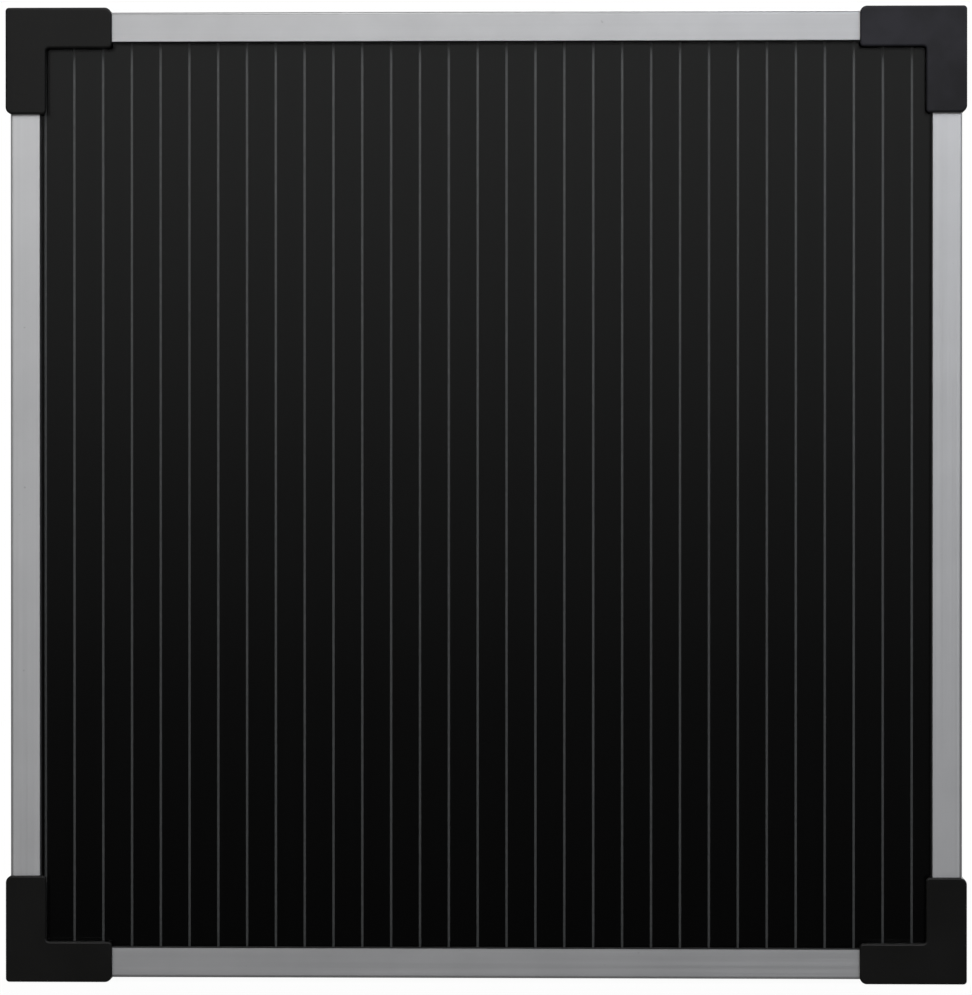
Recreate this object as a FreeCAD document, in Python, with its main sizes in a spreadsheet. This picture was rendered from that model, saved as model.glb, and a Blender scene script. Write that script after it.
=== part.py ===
"""Framed thin-film solar panel with plastic corner covers and a rear junction box.

The panel stands upright. +X is to the right, -Y is the glass side, +Y is the rear
and +Z is up. The origin is under the middle of the panel, at the lowest point of
its two bottom corner covers. All sizes are in millimetres.
"""

import os

import FreeCAD, Part
import Sketcher

doc = FreeCAD.newDocument("SolarPanel")
Vector = FreeCAD.Vector

# ---------------------------------------------------------------- driving sizes

DRIVING_SIZES = {
    # frame
    "frame_wide": 317,
    "frame_tall": 322,
    "frame_deep": 19,
    "wall": 1.2,
    "lip_wide": 9.75,
    "chamber_wide": 2.8,
    "flange_wide": 20,
    "edge_radius": 1.0,
    "mount_hole_radius": 2.75,
    "mount_hole_inset": 14,
    "mount_hole_spacing": 220,
    # corner keys and their screws
    "key_gap": 0.1,
    "key_arm": 28,
    "screw_place": 22,
    "screw_radius": 1.45,
    "screw_hole_radius": 1.6,
    "screw_head_radius": 2.6,
    "screw_sunk": 0.15,
    "screw_length": 5.1,
    "screw_slot": 0.6,
    # corner covers
    "cover_wall": 1.4,
    "cover_gap": 0.1,
    "cover_arm": 35.5,
    "cover_width": 13.5,
    "cover_rim_wide": 1.8,
    "cover_rim_deep": 0.8,
    "cover_corner_radius": 1.2,
    "cover_end_radius": 2.4,
    "cover_edge_radius": 0.7,
    # glass, film and encapsulant
    "glass_cover": 4,
    "gasket_leg": 0.6,
    "gasket_show": 0.5,
    "front_glass_thick": 3.2,
    "back_glass_thick": 2,
    "film_thick": 0.1,
    "film_margin": 3,
    "encapsulant_thick": 0.5,
    "cell_pitch": 9.65,
    "cell_count": 30,
    "first_strip_wide": 2.4,
    "line_wide": 0.75,
    "contact_gap": 0.4,
    # electrical ribbons
    "busbar_wide": 1.6,
    "ribbon_wide": 3,
    "ribbon_thick": 0.15,
    "insulator_wide": 8,
    "lead_gap": 6,
    "lead_hole_radius": 6,
    "lead_height": 262,
    # junction box
    "box_height": 255,
    "box_wide": 60,
    "box_tall": 45,
    "box_deep": 8,
    "box_wall": 1.8,
    "box_floor": 1.6,
    "box_corner": 3,
    "foot_reach": 3,
    "foot_thick": 1.2,
    "pad_thick": 0.8,
    "window_wide": 16,
    "window_tall": 10,
    "seal_inset": 0.4,
    "seal_wide": 1,
    "seal_high": 0.8,
    "seal_sunk": 0.4,
    "lid_gap": 0.05,
    "lid_thick": 1.6,
    "lid_edge_radius": 0.6,
    "lid_panel_inset": 8,
    "lid_panel_sunk": 0.3,
    "lid_rim_gap": 0.3,
    "lid_rim_wall": 1,
    "lid_rim_drop": 1.5,
    "tab_wide": 14,
    "tab_reach": 3,
    # lid hinge
    "hinge_reach": 2.4,
    "knuckle_radius": 2.2,
    "knuckle_wide": 26,
    "ear_gap": 0.3,
    "ear_wide": 5.7,
    "ear_root": 0.5,
    "pin_radius": 1,
    "pin_clearance": 0.05,
    # cable entry
    "cable_radius": 2.5,
    "entry_offset": 16,
    "entry_lift": 4.6,
    "spigot_radius": 3.3,
    "spigot_length": 8.5,
    "spigot_root": 0.9,
    "gland_flats": 9.4,
    "gland_start": 3.5,
    "gland_length": 9,
    "gland_end_wall": 1.6,
    "gland_clearance": 0.05,
    # terminals and diode
    "terminal_offset": 14,
    "terminal_raise": 5,
    "terminal_wide": 10,
    "terminal_tall": 7,
    "terminal_deep": 3.6,
    "wire_hole_radius": 1.3,
    "wire_hole_lift": 1.4,
    "clamp_radius": 1.2,
    "clamp_head_radius": 2,
    "clamp_head_deep": 1.1,
    "clamp_length": 1.2,
    "diode_radius": 1.35,
    "diode_length": 5.2,
    "diode_drop": 6,
    "diode_lift": 1.8,
    "diode_edge": 0.3,
    "lead_radius": 0.4,
    "lead_bend": 1,
    "lead_place": 10.9,
    # rating label
    "label_wide": 90,
    "label_tall": 45,
    "label_thick": 0.15,
    "label_height": 120,
}

sheet = doc.addObject("Spreadsheet::Sheet", "Size")
for row, (alias, size) in enumerate(DRIVING_SIZES.items(), start=1):
    sheet.set(f"A{row}", alias)
    sheet.set(f"B{row}", str(size))
    sheet.setAlias(f"B{row}", alias)
doc.recompute()

# Places and sizes that follow from the driving ones, written as sheet expressions.
FRAME_BOTTOM = "(Size.cover_wall + Size.cover_gap)"
FRAME_MIDDLE = f"({FRAME_BOTTOM} + Size.frame_tall / 2)"
FRAME_TOP = f"({FRAME_BOTTOM} + Size.frame_tall)"
HALF_WIDE = "(Size.frame_wide / 2)"
FRONT = "(-Size.frame_deep / 2)"
REAR = "(Size.frame_deep / 2)"
LIP_BACK = f"({FRONT} + Size.wall)"
SLOT_FLOOR = "(2 * Size.wall + Size.chamber_wide)"
GLASS_EDGE = "(Size.lip_wide - Size.glass_cover)"
GLASS_FRONT = f"({LIP_BACK} + Size.gasket_leg)"
FILM_FRONT = f"({GLASS_FRONT} + Size.front_glass_thick)"
CONTACT_FRONT = f"({FILM_FRONT} + Size.film_thick)"
CONTACT_BACK = f"({CONTACT_FRONT} + Size.film_thick)"
BACK_GLASS_FRONT = f"({CONTACT_BACK} + Size.encapsulant_thick)"
BACK_GLASS_REAR = f"({BACK_GLASS_FRONT} + Size.back_glass_thick)"
LEDGE_FRONT = f"({BACK_GLASS_REAR} + Size.gasket_leg)"
LEDGE_BACK = f"({LEDGE_FRONT} + Size.wall)"
GLASS_HALF_WIDE = f"({HALF_WIDE} - {GLASS_EDGE})"
GLASS_HALF_TALL = f"(Size.frame_tall / 2 - {GLASS_EDGE})"
FILM_HALF_WIDE = f"({GLASS_HALF_WIDE} - Size.film_margin)"
FILM_HALF_TALL = f"({GLASS_HALF_TALL} - Size.film_margin)"
BOX_SEAT = f"({BACK_GLASS_REAR} + Size.pad_thick)"
LID_UNDERSIDE = "(Size.box_deep - Size.seal_sunk + Size.seal_high + Size.lid_gap)"
HINGE_UP = "(Size.box_tall / 2 + Size.hinge_reach)"

# Where each side of the frame lies: turn about Y, x, z and length.
FRAME_SIDES = {
    "bottom": (0, "0", FRAME_BOTTOM, "Size.frame_wide"),
    "left": (90, f"-{HALF_WIDE}", FRAME_MIDDLE, "Size.frame_tall"),
    "top": (180, "0", FRAME_TOP, "Size.frame_wide"),
    "right": (-90, HALF_WIDE, FRAME_MIDDLE, "Size.frame_tall"),
}
# Where each corner of the frame lies: turn about Y, x and z.
FRAME_CORNERS = {
    "bottom_left": (0, f"-{HALF_WIDE}", FRAME_BOTTOM),
    "top_left": (90, f"-{HALF_WIDE}", FRAME_TOP),
    "top_right": (180, HALF_WIDE, FRAME_TOP),
    "bottom_right": (-90, HALF_WIDE, FRAME_BOTTOM),
}

sub_parts = []


# ---------------------------------------------------------------- small helpers


def number(expression):
    """The value of an expression of sheet cells."""
    return float(sheet.evalExpression(expression))


def place(item, x="0", y="0", z="0", turn=0):
    """Turn an object about Y and bind its place to three expressions."""
    turned = FreeCAD.Rotation(Vector(0, 1, 0), turn)
    spot = Vector(number(x), number(y), number(z))
    item.Placement = FreeCAD.Placement(spot, turned)
    for axis, expression in zip("xyz", (x, y, z)):
        item.setExpression(f"Placement.Base.{axis}", expression)


def new_body(name):
    """A body that becomes a sub-part of its own."""
    body = doc.addObject("PartDesign::Body", name)
    body.Label = name
    sub_parts.append(body)
    return body


def keep(item, name):
    """List a primitive, a boolean or a coded shape as a sub-part."""
    item.Label = name
    sub_parts.append(item)
    return item


def new_sketch(body, plane, height="0"):
    """A sketch on one of the body's origin planes, raised along the plane's normal.

    The normal of XZ_Plane points along -Y.
    """
    sketch = body.newObject("Sketcher::SketchObject", "Sketch")
    planes = [item for item in body.Origin.OriginFeatures if item.Role == plane]
    sketch.AttachmentSupport = (planes[0], "")
    sketch.MapMode = "FlatFace"
    sketch.setExpression("AttachmentOffset.Base.z", height)
    return sketch


def bind(sketch, constraint, expression):
    """Add a dimension to a sketch and bind it to an expression."""
    index = sketch.addConstraint(constraint)
    sketch.setExpression(f"Constraints[{index}]", expression)


def draw_polygon(sketch, corners):
    """A closed polygon with each corner at a pair of expressions."""
    first = sketch.GeometryCount
    spots = [Vector(number(across), number(up), 0) for across, up in corners]
    for start, end in zip(spots, spots[1:] + spots[:1]):
        sketch.addGeometry(Part.LineSegment(start, end))
    for index, (across, up) in enumerate(corners):
        line = first + index
        following = first + (index + 1) % len(corners)
        sketch.addConstraint(Sketcher.Constraint("Coincident", line, 2, following, 1))
        bind(sketch, Sketcher.Constraint("DistanceX", line, 1, spots[index].x), across)
        bind(sketch, Sketcher.Constraint("DistanceY", line, 1, spots[index].y), up)


def draw_rectangle(sketch, low, high):
    """A rectangle between two opposite corners."""
    (left, bottom), (right, top) = low, high
    draw_polygon(sketch, [(left, bottom), (right, bottom), (right, top), (left, top)])


def draw_circle(sketch, across, up, radius):
    """A circle with its centre and radius at expressions."""
    spot = Vector(number(across), number(up), 0)
    circle = sketch.addGeometry(Part.Circle(spot, Vector(0, 0, 1), number(radius)))
    bind(sketch, Sketcher.Constraint("DistanceX", circle, 3, spot.x), across)
    bind(sketch, Sketcher.Constraint("DistanceY", circle, 3, spot.y), up)
    bind(sketch, Sketcher.Constraint("Radius", circle, number(radius)), radius)


def draw_rounded_rectangle(sketch, half_wide, half_tall, radius):
    """A centred rectangle whose four corners are arcs, joined by tangent lines."""
    first = sketch.GeometryCount
    quarters = ((1, 1), (-1, 1), (-1, -1), (1, -1))
    centres = []
    for side, rise in quarters:
        centres.append((f"{side} * ({half_wide} - {radius})", f"{rise} * ({half_tall} - {radius})"))
    arcs = []
    for turn, (across, up) in enumerate(centres):
        circle = Part.Circle(Vector(number(across), number(up), 0), Vector(0, 0, 1), number(radius))
        start = FreeCAD.Units.parseQuantity(f"{90 * turn} deg").getValueAs("rad").Value
        quarter = FreeCAD.Units.parseQuantity("90 deg").getValueAs("rad").Value
        arcs.append(Part.ArcOfCircle(circle, start, start + quarter))
        sketch.addGeometry(arcs[-1])
    for index, arc in enumerate(arcs):
        following = arcs[(index + 1) % len(arcs)]
        sketch.addGeometry(Part.LineSegment(arc.EndPoint, following.StartPoint))
    for index, (across, up) in enumerate(centres):
        arc = first + index
        line = first + len(arcs) + index
        following = first + (index + 1) % len(arcs)
        sketch.addConstraint(Sketcher.Constraint("Tangent", arc, 2, line, 1))
        sketch.addConstraint(Sketcher.Constraint("Tangent", line, 2, following, 1))
        bind(sketch, Sketcher.Constraint("DistanceX", arc, 3, number(across)), across)
        bind(sketch, Sketcher.Constraint("DistanceY", arc, 3, number(up)), up)
        bind(sketch, Sketcher.Constraint("Radius", arc, number(radius)), radius)


def extrude(body, kind, sketch, length, reverse, symmetric):
    """A pad or a pocket of a sketch; a length of None cuts through everything."""
    feature = body.newObject(f"PartDesign::{kind}", kind)
    feature.Profile = sketch
    feature.Reversed = reverse
    if symmetric:
        feature.SideType = "Symmetric"
    if length is None:
        feature.Type = "ThroughAll"
    else:
        feature.setExpression("Length", length)
    return feature


def add(body, sketch, length, reverse=False, symmetric=False):
    """Pad a sketch along its normal, or against it when reversed."""
    feature = extrude(body, "Pad", sketch, length, reverse, symmetric)
    doc.recompute()
    return feature


def cut(body, sketch, length=None, reverse=False, symmetric=False):
    """Pocket a sketch against its normal, and make sure that it removed material."""
    before = body.Shape.Volume
    feature = extrude(body, "Pocket", sketch, length, reverse, symmetric)
    doc.recompute()
    if not body.Shape.Volume < before:
        raise RuntimeError(f"{body.Label}: a pocket removed nothing")
    return feature


def edges_where(feature, test):
    """The names of a feature's edges that pass a test."""
    return [f"Edge{index}" for index, edge in enumerate(feature.Shape.Edges, start=1) if test(edge)]


def lies_at(**position):
    """A test for edges whose ends and middle all have the given coordinates."""
    targets = {axis: number(expression) for axis, expression in position.items()}

    def test(edge):
        spots = [vertex.Point for vertex in edge.Vertexes]
        spots.append(edge.valueAt((edge.FirstParameter + edge.LastParameter) / 2))
        return all(abs(getattr(spot, axis) - targets[axis]) < 1e-4 for spot in spots for axis in targets)

    return test


def dress(body, kind, feature, names, dimension, size):
    """A fillet or a chamfer on named edges of a feature."""
    dressing = body.newObject(f"PartDesign::{kind}", kind)
    dressing.Base = (feature, names)
    dressing.setExpression(dimension, size)
    doc.recompute()
    return dressing


def round_edges(body, feature, radius, *tests):
    """Fillet every edge that passes any of the tests."""
    names = edges_where(feature, lambda edge: any(test(edge) for test in tests))
    return dress(body, "Fillet", feature, names, "Radius", radius)


def box(name, low, high):
    """A plain box between two corners given as expressions."""
    item = doc.addObject("Part::Box", name)
    for size, start, end in zip(("Length", "Width", "Height"), low, high):
        item.setExpression(size, f"({end}) - ({start})")
    place(item, *low)
    return item


def group(name, solids):
    """One sub-part that holds several separate solids."""
    item = doc.addObject("Part::Feature", name)
    item.Shape = Part.makeCompound(solids)
    return keep(item, name)


def solid_box(low, high):
    """A box solid between two corners given as numbers."""
    sides = [end - start for start, end in zip(low, high)]
    return Part.makeBox(*sides, Vector(*low))


# ---------------------------------------------------------------- frame


def mitre_ends(body, length, depth):
    """Cut both ends of a bar at 45 degrees, from its outer face inwards."""
    for side in (1, -1):
        end = f"{side} * {length} / 2"
        inner = f"{side} * ({length} / 2 - {depth})"
        sketch = new_sketch(body, "XZ_Plane")
        draw_polygon(sketch, [(end, "0"), (inner, depth), (end, depth)])
        cut(body, sketch, symmetric=True)


def make_rail(side):
    """One frame extrusion: lip, glass slot, ledge, hollow chamber and rear flange.

    In the rail's own frame X runs along it, Y is the depth and Z points into the panel.
    """
    turn, x, z, length = FRAME_SIDES[side]
    body = new_body(f"frame_rail_{side}")
    profile = new_sketch(body, "YZ_Plane")
    flange_front = f"({REAR} - Size.wall)"
    draw_polygon(profile, [
        (FRONT, "0"),
        (FRONT, "Size.lip_wide"),
        (LIP_BACK, "Size.lip_wide"),
        (LIP_BACK, SLOT_FLOOR),
        (LEDGE_FRONT, SLOT_FLOOR),
        (LEDGE_FRONT, "Size.lip_wide"),
        (LEDGE_BACK, "Size.lip_wide"),
        (LEDGE_BACK, SLOT_FLOOR),
        (flange_front, SLOT_FLOOR),
        (flange_front, "Size.flange_wide"),
        (REAR, "Size.flange_wide"),
        (REAR, "0"),
    ])
    draw_rectangle(profile, (LIP_BACK, "Size.wall"), (flange_front, "Size.wall + Size.chamber_wide"))
    bar = add(body, profile, length, symmetric=True)
    round_edges(body, bar, "Size.edge_radius", lies_at(y=FRONT, z="0"), lies_at(y=REAR, z="0"))
    mitre_ends(body, length, "Size.flange_wide")
    screw_holes = new_sketch(body, "XY_Plane")
    for direction in (1, -1):
        along = f"{direction} * ({length} / 2 - Size.screw_place)"
        draw_circle(screw_holes, along, "0", "Size.screw_hole_radius")
    cut(body, screw_holes, "Size.wall", reverse=True)
    if side in ("left", "right"):
        mount_holes = new_sketch(body, "XZ_Plane")
        for direction in (1, -1):
            along = f"{direction} * Size.mount_hole_spacing / 2"
            draw_circle(mount_holes, along, "Size.mount_hole_inset", "Size.mount_hole_radius")
        cut(body, mount_holes, symmetric=True)
    place(body, x=x, z=z, turn=turn)


def make_gasket(side):
    """A U-section rubber strip between the rail's slot and the edges of the glass."""
    turn, x, z, length = FRAME_SIDES[side]
    body = new_body(f"edge_gasket_{side}")
    profile = new_sketch(body, "YZ_Plane")
    front_reach = "(Size.lip_wide + Size.gasket_show)"
    draw_polygon(profile, [
        (LIP_BACK, SLOT_FLOOR),
        (LIP_BACK, front_reach),
        (GLASS_FRONT, front_reach),
        (GLASS_FRONT, GLASS_EDGE),
        (BACK_GLASS_REAR, GLASS_EDGE),
        (BACK_GLASS_REAR, "Size.lip_wide"),
        (LEDGE_FRONT, "Size.lip_wide"),
        (LEDGE_FRONT, SLOT_FLOOR),
    ])
    add(body, profile, length, symmetric=True)
    mitre_ends(body, length, front_reach)
    place(body, x=x, z=z, turn=turn)


# ---------------------------------------------------------------- corners


def ell(near, far, wide):
    """The corners of an L with its outer corner at (near, near) and arms up to far."""
    return [(near, near), (far, near), (far, wide), (wide, wide), (wide, far), (near, far)]


def screw_holes_in_arms(body, radius):
    """One hole through each arm of an L-shaped corner piece, at mid depth."""
    upright = new_sketch(body, "XY_Plane")
    draw_circle(upright, "Size.screw_place", "0", radius)
    cut(body, upright, symmetric=True)
    sideways = new_sketch(body, "YZ_Plane")
    draw_circle(sideways, "0", "Size.screw_place", radius)
    return cut(body, sideways, symmetric=True)


def make_key(corner):
    """An L-shaped insert that joins two rails inside their hollow chambers."""
    turn, x, z = FRAME_CORNERS[corner]
    body = new_body(f"corner_key_{corner}")
    near = "(Size.wall + Size.key_gap)"
    wide = "(Size.wall + Size.chamber_wide - Size.key_gap)"
    outline = new_sketch(body, "XZ_Plane")
    draw_polygon(outline, ell(near, f"({near} + Size.key_arm)", wide))
    add(body, outline, "Size.frame_deep - 2 * Size.wall - 2 * Size.key_gap", symmetric=True)
    screw_holes_in_arms(body, "Size.screw_radius + Size.cover_gap / 2")
    place(body, x=x, z=z, turn=turn)


def make_cover(corner):
    """A moulded cover that wraps the front, outer sides and rear of one frame corner."""
    turn, x, z = FRAME_CORNERS[corner]
    body = new_body(f"corner_cover_{corner}")
    outer = "(-Size.cover_wall - Size.cover_gap)"
    arm_end = f"({outer} + Size.cover_arm)"
    arm_inner = f"({outer} + Size.cover_width)"
    inside = "(-Size.cover_gap)"
    half_deep = "(Size.frame_deep / 2 + Size.cover_gap + Size.cover_wall)"
    outline = new_sketch(body, "XZ_Plane")
    draw_polygon(outline, ell(outer, arm_end, arm_inner))
    block = add(body, outline, f"2 * {half_deep}", symmetric=True)
    ends = round_edges(body, block, "Size.cover_end_radius",
                       lies_at(x=arm_end, z=outer), lies_at(x=outer, z=arm_end))
    corners = round_edges(body, ends, "Size.cover_corner_radius",
                          lies_at(x=outer, z=outer), lies_at(x=arm_inner, z=arm_inner),
                          lies_at(x=arm_end, z=arm_inner), lies_at(x=arm_inner, z=arm_end))
    round_edges(body, corners, "Size.cover_edge_radius",
                lies_at(y=half_deep), lies_at(y=f"-{half_deep}"))
    hollow = new_sketch(body, "XZ_Plane")
    draw_rectangle(hollow, (inside, inside), (f"2 * {arm_end}", f"2 * {arm_end}"))
    cut(body, hollow, "Size.frame_deep + 2 * Size.cover_gap", symmetric=True)
    rim_outer = f"({arm_inner} - Size.cover_rim_wide)"
    rim_end = f"({arm_end} - Size.cover_end_radius)"
    rim = new_sketch(body, "XZ_Plane", "Size.frame_deep / 2 + Size.cover_gap")
    draw_polygon(rim, [
        (rim_outer, rim_outer),
        (rim_end, rim_outer),
        (rim_end, arm_inner),
        (arm_inner, arm_inner),
        (arm_inner, rim_end),
        (rim_outer, rim_end),
    ])
    add(body, rim, "Size.cover_rim_deep", reverse=True)
    holes = screw_holes_in_arms(body, "Size.screw_hole_radius")
    hole_radius = number("Size.screw_hole_radius")
    outer_face = number(outer)

    def is_mouth(edge):
        if getattr(edge.Curve, "TypeId", "") != "Part::GeomCircle":
            return False
        centre = edge.Curve.Center
        on_outer_face = abs(min(centre.x, centre.z) - outer_face) < 1e-4
        return on_outer_face and abs(edge.Curve.Radius - hole_radius) < 1e-4

    dress(body, "Chamfer", holes, edges_where(holes, is_mouth), "Size",
          "Size.screw_head_radius - Size.screw_hole_radius + Size.screw_sunk")
    place(body, x=x, z=z, turn=turn)


def make_corner_screws():
    """Eight countersunk screws, two through each cover into the key behind it."""
    head_radius = number("Size.screw_head_radius")
    shank_radius = number("Size.screw_radius")
    length = number("Size.screw_length")
    slot = number("Size.screw_slot")
    start = number("Size.screw_sunk - Size.cover_wall - Size.cover_gap")
    head_deep = head_radius - shank_radius
    head = Part.makeCone(head_radius, shank_radius, head_deep)
    shank = Part.makeCylinder(shank_radius, length)
    screw = head.fuse(shank)
    for across, along in ((slot, 2 * shank_radius), (2 * shank_radius, slot)):
        blade = Part.makeBox(across, along, slot, Vector(-across / 2, -along / 2, 0))
        screw = screw.cut(blade)
    reach = number("Size.screw_place")
    into_bottom = FreeCAD.Placement(Vector(reach, 0, start), FreeCAD.Rotation())
    sideways = FreeCAD.Rotation(Vector(0, 0, 1), Vector(1, 0, 0))
    into_side = FreeCAD.Placement(Vector(start, 0, reach), sideways)
    solids = []
    for turn, x, z in FRAME_CORNERS.values():
        spot = Vector(number(x), 0, number(z))
        corner = FreeCAD.Placement(spot, FreeCAD.Rotation(Vector(0, 1, 0), turn))
        for seat in (into_bottom, into_side):
            copy = screw.copy()
            copy.Placement = corner.multiply(seat)
            solids.append(copy)
    group("corner_screws", solids)


# ---------------------------------------------------------------- glass and film


def laminate_sheet(name, half_wide, half_tall, front, back):
    """A flat layer of the laminate, centred in the frame."""
    low = (f"-{half_wide}", front, f"{FRAME_MIDDLE} - {half_tall}")
    high = (half_wide, back, f"{FRAME_MIDDLE} + {half_tall}")
    return box(name, low, high)


def lead_hole(name):
    """The round hole that the two lead ribbons pass through."""
    hole = doc.addObject("Part::Cylinder", name)
    hole.setExpression("Radius", "Size.lead_hole_radius")
    hole.setExpression("Height", "Size.frame_deep")
    along_depth = FreeCAD.Rotation(Vector(0, 0, 1), Vector(0, 1, 0))
    hole.Placement = FreeCAD.Placement(Vector(), along_depth)
    hole.setExpression("Placement.Base.y", CONTACT_BACK)
    hole.setExpression("Placement.Base.z", "Size.lead_height")
    return hole


def take_away(name, base, *tools):
    """A sub-part made by cutting tools out of a base."""
    union = tools[0]
    if len(tools) > 1:
        union = doc.addObject("Part::MultiFuse", f"{name}_pockets")
        union.Shapes = list(tools)
    result = doc.addObject("Part::Cut", name)
    result.Base = base
    result.Tool = union
    return keep(result, name)


def strip_edges():
    """The x of each line between two strips, and of both edges of the film."""
    half_wide = number(FILM_HALF_WIDE)
    pitch = number("Size.cell_pitch")
    count = int(number("Size.cell_count"))
    first = number("Size.first_strip_wide") - half_wide
    lines = [first + pitch * index for index in range(count + 1)]
    return -half_wide, lines, half_wide


def make_film():
    """Cell strips, the scribed lines between them and the metal contacts behind."""
    left, lines, right = strip_edges()
    bottom = number(f"{FRAME_MIDDLE} - {FILM_HALF_TALL}")
    top = number(f"{FRAME_MIDDLE} + {FILM_HALF_TALL}")
    film_front = number(FILM_FRONT)
    contact_front = number(CONTACT_FRONT)
    contact_back = number(CONTACT_BACK)
    line = number("Size.line_wide") / 2
    gap = number("Size.contact_gap") / 2
    starts = [left] + lines
    ends = lines + [right]
    cells = []
    contacts = []
    for start, end in zip(starts, ends):
        open_left = start > left
        open_right = end < right
        cell_left = start + line * open_left
        cell_right = end - line * open_right
        cells.append(solid_box((cell_left, film_front, bottom), (cell_right, contact_front, top)))
        contact_left = start + gap * open_left
        contact_right = end - gap * open_right
        contacts.append(solid_box((contact_left, contact_front, bottom), (contact_right, contact_back, top)))
    joins = []
    for x in lines:
        joins.append(solid_box((x - line, film_front, bottom), (x + line, contact_front, top)))
    group("cell_strips", cells)
    group("cell_interconnects", joins)
    group("back_contacts", contacts)


def make_busbar(name, left):
    """A flat tinned strip along the whole height of an end cell."""
    low = (left, CONTACT_BACK, f"{FRAME_MIDDLE} - {FILM_HALF_TALL}")
    high = (f"{left} + Size.busbar_wide", f"{CONTACT_BACK} + Size.ribbon_thick",
            f"{FRAME_MIDDLE} + {FILM_HALF_TALL}")
    return keep(box(name, low, high), name)


def make_ribbon(name, side, far_end):
    """A flat strip from a busbar to the lead hole, up through it and out to a terminal."""
    body = new_body(name)
    inner = f"{side} * Size.lead_gap / 2"
    inner_far = f"{side} * (Size.lead_gap / 2 + Size.ribbon_thick)"
    block_side = f"{side} * (Size.terminal_offset - Size.terminal_wide / 2)"
    under = f"({CONTACT_BACK} + Size.ribbon_thick)"
    top = f"({BOX_SEAT} + Size.box_floor + Size.ribbon_wide / 3)"
    outline = new_sketch(body, "XY_Plane", "Size.lead_height - Size.ribbon_wide / 2")
    draw_polygon(outline, [
        (far_end, under),
        (inner, under),
        (inner, top),
        (block_side, top),
        (block_side, f"{top} - Size.ribbon_thick"),
        (inner_far, f"{top} - Size.ribbon_thick"),
        (inner_far, f"{under} + Size.ribbon_thick"),
        (far_end, f"{under} + Size.ribbon_thick"),
    ])
    add(body, outline, "Size.ribbon_wide")
    return body


def make_laminate():
    """Front glass, film, ribbons, encapsulant and back glass, from front to rear."""
    front_glass = laminate_sheet("front_glass", GLASS_HALF_WIDE, GLASS_HALF_TALL, GLASS_FRONT, FILM_FRONT)
    keep(front_glass, "front_glass")
    make_film()
    edge_inset = "(Size.first_strip_wide - Size.busbar_wide) / 2"
    negative_left = f"-{FILM_HALF_WIDE} + {edge_inset}"
    last_line = f"(-{FILM_HALF_WIDE} + Size.first_strip_wide + Size.cell_count * Size.cell_pitch)"
    positive_left = f"({last_line} + {FILM_HALF_WIDE} - Size.busbar_wide) / 2"
    negative_bar = make_busbar("busbar_negative", negative_left)
    positive_bar = make_busbar("busbar_positive", positive_left)
    negative_lead = make_ribbon("lead_ribbon_negative", -1, negative_left)
    positive_lead = make_ribbon("lead_ribbon_positive", 1, f"{positive_left} + Size.busbar_wide")
    insulator_half = f"({FILM_HALF_WIDE} - 2 * Size.first_strip_wide - Size.busbar_wide)"
    insulator = box("ribbon_insulator",
                    (f"-{insulator_half}", CONTACT_BACK, "Size.lead_height - Size.insulator_wide / 2"),
                    (insulator_half, f"{CONTACT_BACK} + Size.film_thick",
                     "Size.lead_height + Size.insulator_wide / 2"))
    keep(insulator, "ribbon_insulator")
    slab = laminate_sheet("encapsulant_slab", GLASS_HALF_WIDE, GLASS_HALF_TALL, FILM_FRONT, BACK_GLASS_FRONT)
    film_space = laminate_sheet("film_space", FILM_HALF_WIDE, FILM_HALF_TALL, FILM_FRONT, CONTACT_BACK)
    take_away("encapsulant_sheet", slab, film_space, negative_bar, positive_bar,
              negative_lead, positive_lead, insulator, lead_hole("encapsulant_hole"))
    sheet_behind = laminate_sheet("back_sheet", GLASS_HALF_WIDE, GLASS_HALF_TALL,
                                  BACK_GLASS_FRONT, BACK_GLASS_REAR)
    take_away("back_glass", sheet_behind, lead_hole("back_glass_hole"))


def make_label():
    """A blank rating label stuck on the back glass."""
    low = ("-Size.label_wide / 2", BACK_GLASS_REAR, "Size.label_height - Size.label_tall / 2")
    high = ("Size.label_wide / 2", f"{BACK_GLASS_REAR} + Size.label_thick",
            "Size.label_height + Size.label_tall / 2")
    keep(box("rating_label", low, high), "rating_label")


# ---------------------------------------------------------------- junction box
# Each box piece is drawn with X and Z centred on the box and Y rising from its seat.


def set_in_box(body):
    """Move a box piece from its own frame to its place on the back glass."""
    place(body, y=BOX_SEAT, z="Size.box_height")


def draw_box_outline(sketch, inset):
    """The box's rounded outline, moved inwards all round."""
    half_wide = f"(Size.box_wide / 2 - {inset})"
    half_tall = f"(Size.box_tall / 2 - {inset})"
    draw_rounded_rectangle(sketch, half_wide, half_tall, f"(Size.box_corner - {inset})")


def draw_foot_outline(sketch):
    """The outline of the box's glued foot."""
    half_wide = "(Size.box_wide / 2 + Size.foot_reach)"
    half_tall = "(Size.box_tall / 2 + Size.foot_reach)"
    draw_rounded_rectangle(sketch, half_wide, half_tall, "(Size.box_corner + Size.foot_thick)")


def cut_window(body):
    """The window in the box's floor and glue pad that the ribbons come through."""
    middle = "(Size.lead_height - Size.box_height)"
    window = new_sketch(body, "XZ_Plane")
    draw_rectangle(window,
                   ("-Size.window_wide / 2", f"{middle} - Size.window_tall / 2"),
                   ("Size.window_wide / 2", f"{middle} + Size.window_tall / 2"))
    cut(body, window, "4 * Size.box_floor", symmetric=True)


def make_adhesive_pad():
    """The foam tape between the box and the back glass."""
    body = new_body("box_adhesive_pad")
    outline = new_sketch(body, "XZ_Plane")
    draw_foot_outline(outline)
    add(body, outline, "Size.pad_thick")
    cut_window(body)
    set_in_box(body)


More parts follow.
